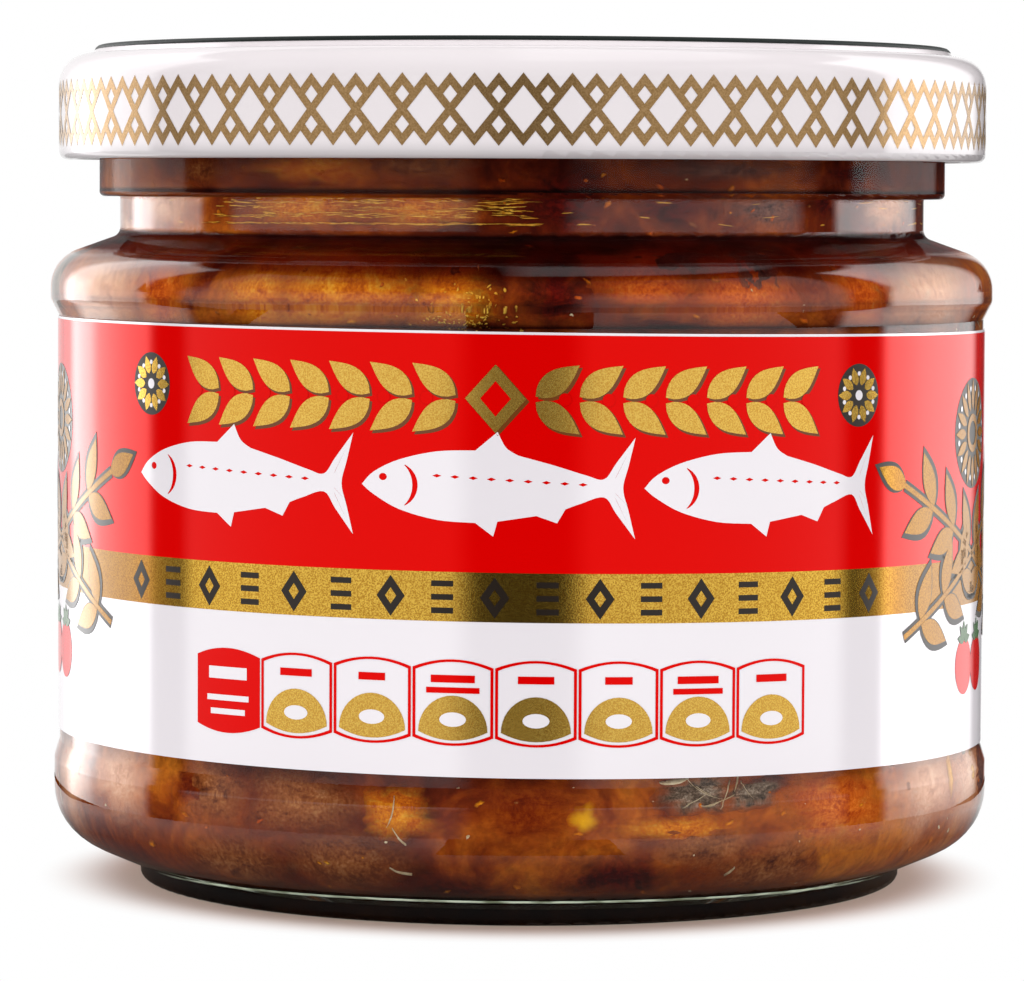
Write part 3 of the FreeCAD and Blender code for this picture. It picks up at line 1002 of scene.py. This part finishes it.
# A plain sardine in profile, one unit long, nose to the left
FISH = smooth([(-0.5, 0.0, 1), (-0.455, 0.045), (-0.36, 0.09), (-0.22, 0.122), (-0.08, 0.128, 1),
               (0.0, 0.195, 1), (0.03, 0.14), (0.075, 0.112, 1), (0.2, 0.08), (0.32, 0.045),
               (0.385, 0.032), (0.43, 0.09), (0.5, 0.18, 1), (0.475, 0.08), (0.455, 0.0),
               (0.475, -0.08), (0.5, -0.18, 1), (0.43, -0.09), (0.385, -0.032), (0.30, -0.055),
               (0.245, -0.075, 1), (0.215, -0.125, 1), (0.14, -0.1, 1), (0.0, -0.122, 1),
               (-0.015, -0.175, 1), (-0.08, -0.128, 1), (-0.22, -0.12), (-0.36, -0.085),
               (-0.455, -0.035)])


def arc_band(u, z, radius, width, start, end, parts=14):
    """A curved stroke, thin at its ends."""
    outer, inner = [], []
    for k in range(parts + 1):
        share = k / parts
        a = start + (end - start) * share
        half = width / 2 * (0.15 + 0.85 * sin(pi * share))
        outer.append((u + (radius + half) * cos(a), z + (radius + half) * sin(a)))
        inner.append((u + (radius - half) * cos(a), z + (radius - half) * sin(a)))
    return outer + inner[::-1]


def leaf(u, z, length, width, turn):
    """A pointed leaf that starts at (u, z)."""
    upper = [(length * k / 10, width / 2 * sin(pi * (k / 10) ** 0.8)) for k in range(11)]
    lower = [(x, -y) for x, y in upper[-2:0:-1]]
    return moved(upper + lower, u, z, 1.0, turn)


def fish_at(u, z, length, stretch):
    """Groups of outlines of one fish with its eye, gill and side marks left open."""
    def put(outline):
        return moved([(x, y * stretch) for x, y in outline], u, z, length)
    group = [put(FISH), put(oval(-0.42, 0.028, 0.015, 0.013, 16)),
             put(arc_band(-0.385, 0.0, 0.085, 0.02, -1.0, 1.0))]
    for k in range(9):
        group.append(put(lozenge(-0.22 + k * 0.066, 0.036 - k * 0.003, 0.017, 0.0065)))
    for k in (-2, -1, 1, 2):
        group.append(put([(0.425, 0.016 * k), (0.472, 0.062 * k), (0.430, 0.022 * k)]))
    return group


ROW = 38.45  # the height of the row of fish
label.lay("label_fishes", [fish_at(u, ROW, 23.6, 1.02) for u in (-24.2, 0.2, 24.6)], WHITE, 2)

GARLAND = 45.95  # the height of the garland's middle
PITCH = 3.75  # from one pair of its leaves to the next
PAIRS = 7
ROSETTES = (-34.5, 34.5)  # where they stand at its ends
ROSETTE = 46.3  # their height


def garland(shift=0.0, grow=0.0):
    """Pairs of leaves that run outwards from a middle lozenge."""
    shapes = [[lozenge(shift, GARLAND - shift, 2.6 + grow, 2.9 + grow)]]
    for side in (-1, 1):
        for k in range(PAIRS):
            u = side * (3.4 + PITCH * k)
            for lean in (1, -1):
                turn = lean * 0.62 if side > 0 else pi - lean * 0.62
                shapes.append([leaf(u + shift, GARLAND + lean * 0.25 - shift, 4.6 + grow,
                                    2.1 + grow, turn)])
    return shapes


BEADS = [[oval(side * (5.9 + PITCH * k), GARLAND, 0.55, 0.55, 14)]
         for side in (-1, 1) for k in range(PAIRS)]
SHADOW = ink("label_shadow_look", srgb(110, 58, 18), 0.2)
label.lay("label_garland_shadow", garland(0.22, 0.05), SHADOW, 2)
label.lay("label_garland", garland(), BRIGHT_GOLD, 3)
label.lay("label_garland_beads", [[lozenge(0, GARLAND, 1.3, 1.5)]] + BEADS, RED, 4)


def rosettes(size, petals, inner, outer):
    """Petal outlines for both rosettes at the ends of the garland."""
    shapes = []
    for u in ROSETTES:
        for k in range(petals):
            turn = 2 * pi * k / petals
            shapes.append([leaf(u + inner * cos(turn), ROSETTE + inner * sin(turn),
                                outer - inner, size, turn)])
    return shapes


label.lay("label_rosette_discs", [[oval(u, ROSETTE, 2.55, 2.75)] for u in ROSETTES], DARK, 2)
label.lay("label_rosette_petals", rosettes(0.85, 10, 0.9, 2.5), BRIGHT_GOLD, 3)
label.lay("label_rosette_dots",
          [[oval(u + 1.9 * cos(a), ROSETTE + 1.9 * sin(a), 0.2, 0.2, 10)]
           for u in ROSETTES for a in [pi / 10 + pi * k / 5 for k in range(10)]]
          + [[oval(u, ROSETTE, 0.45, 0.45, 16)] for u in ROSETTES], WHITE, 3.5)


def band_marks():
    """Lozenges and bars in turn along the gold band."""
    shapes = []
    for k in range(-8, 9):
        u = k * 4.5
        if k % 2:
            shapes += [[block(u - 0.95, z, u + 0.95, z + 0.5)] for z in (27.6, 28.75, 29.9)]
        else:
            shapes.append([lozenge(u, 29.0, 1.25, 1.75), lozenge(u, 29.0, 0.5, 0.7)])
    return shapes


label.lay("label_band_marks", band_marks(), DARK, 2)


def barrel(u, half, low, high, bulge):
    """The outline of a cell with straight sides and bowed top and bottom."""
    top = [(u + half * x, high + bulge * (1 - x * x)) for x in [1 - k / 6 for k in range(13)]]
    bottom = [(u + half * x, low - bulge * (1 - x * x)) for x in [-1 + k / 6 for k in range(13)]]
    return top + bottom


CELLS = 8
CELL_SPAN = 56.9  # all eight cells, along the arc


def cells():
    """Eight cells: outlines, gold mounds, and bars and ovals for what is printed in them."""
    red, gold, white = [], [], []
    pitch = CELL_SPAN / CELLS
    for k in range(CELLS):
        u, half = (k - (CELLS - 1) / 2) * pitch, pitch / 2 - 0.07
        outer = barrel(u, half, 17.0, 23.0, 0.7)
        if k == 0:
            red.append([outer])
            white += [[block(u - w, z, u + w, z + t)] for w, z, t in
                      ((2.1, 21.0, 1.05), (2.3, 19.1, 0.5), (1.9, 17.9, 0.5))]
            continue
        red.append([outer, barrel(u, half - 0.26, 17.2, 22.8, 0.68)])
        wide = 1.9 - 0.35 * (k % 3)
        red.append([block(u - wide, 21.7, u + wide, 22.35)])
        if k % 3 == 0:
            red.append([block(u - 2.3, 20.8, u + 2.3, 21.3)])
        mound = [(u + (half - 0.5) * cos(a), 17.5 + 3.1 * sin(a))
                 for a in [pi * j / 20 for j in range(21)]]
        mound += [(u + (half - 0.5) * x, 17.5 - 0.75 * (1 - x * x))
                  for x in [-1 + j / 5 for j in range(1, 10)]]
        gold.append([mound])
        white.append([oval(u, 18.55, 1.15, 0.62, 20)])
    return (("label_cells", red, RED, 2), ("label_cell_mounds", gold, BRIGHT_GOLD, 2),
            ("label_cell_marks", white, WHITE, 3))


def sprig(u, z, length, turn, flip, grow=0.0):
    """A stem with paired leaves, as groups of outlines."""
    def put(outline):
        return moved(outline, u, z, 1.0, turn, flip)
    groups = [[put(block(-length / 2, -0.25 - grow, length / 2, 0.25 + grow))]]
    for k in range(6):
        x = -length / 2 + 3 + k * (length - 6) / 5.5
        for lean in (1, -1):
            groups.append([put(leaf(x - grow, lean * 0.3, 5.2 + 2.5 * grow, 2.2 + 2 * grow,
                                    lean * 0.75))])
    groups.append([put(leaf(length / 2 - 0.2, 0, 4.4 + 2 * grow, 2.0 + 2 * grow, 0.0))])
    return groups


SIDE = radians(74.8) * LABEL_RADIUS  # the middle of each side ornament


def side_art():
    """The ornament at each side: a rosette over crossed sprigs and two red berries."""
    dark, gold, white, red, green, shade = [], [], [], [], [], []
    z = 42.4  # the rosette's middle
    for u in (-SIDE, SIDE):
        dark.append([oval(u, z, 5.4, 5.0, 60)])
        for k in range(16):
            turn = 2 * pi * k / 16
            gold.append([leaf(u + 2.3 * cos(turn), z + 2.1 * sin(turn), 2.9, 0.95, turn)])
            white.append([oval(u + 4.45 * cos(turn + 0.196), z + 4.1 * sin(turn + 0.196),
                               0.27, 0.27, 10)])
        gold.append([oval(u, z, 1.9, 1.75, 32), oval(u, z, 1.2, 1.1, 32)])
        for lean, flip in ((0.42, 1), (-0.42, -1)):
            gold += sprig(u, 31.5, 33, lean, flip)
            shade += sprig(u, 31.5, 33, lean, flip, 0.32)
        for x in (-2.3, 2.5):
            red.append([oval(u + x, 21.4, 2.5, 2.6, 36)])
            green += [[leaf(u + x, 23.7, 1.9, 0.8, a)] for a in (0.2, 0.9, 1.6, 2.3, 3.0)]
    return (("label_side_discs", dark, DARK, 2), ("label_side_berries", red, RED, 2),
            ("label_side_shade", shade, DARK, 3), ("label_side_calyx", green, LEAF, 3),
            ("label_side_gold", gold, GOLD, 4), ("label_side_dots", white, WHITE, 4))


LEAF = ink("label_green_look", srgb(44, 92, 34), 0.2)


def back_panel():
    """Two white panels at the back, with plain rules on and under them."""
    paper, rules = [], []
    for u in (-HALF_ROUND + 21, HALF_ROUND - 21):
        paper.append([block(u - 15, 33.5, u + 15, 49.2)])
        for k in range(9):
            end = u + 13.4 - (5.5 if k in (3, 8) else 0.6 * (k % 3))
            rules.append([block(u - 13.4, 47.4 - 1.6 * k, end, 47.8 - 1.6 * k)])
        for k in range(5):
            rules.append([block(u - 13.4, 24.2 - 1.6 * k, u + 10 - 1.3 * (k % 3), 24.5 - 1.6 * k)])
    return ("label_back_panels", paper, WHITE, 2), ("label_back_rules", rules, DARK, 3)


for parts in (cells(), side_art(), back_panel()):
    for print_name, groups, material, layer in parts:
        label.lay(print_name, groups, material, layer)
label.lay("label_seam", [[block(HALF_ROUND - 0.12, BOTTOM, HALF_ROUND + 0.12, TOP)]], WHITE, 5)
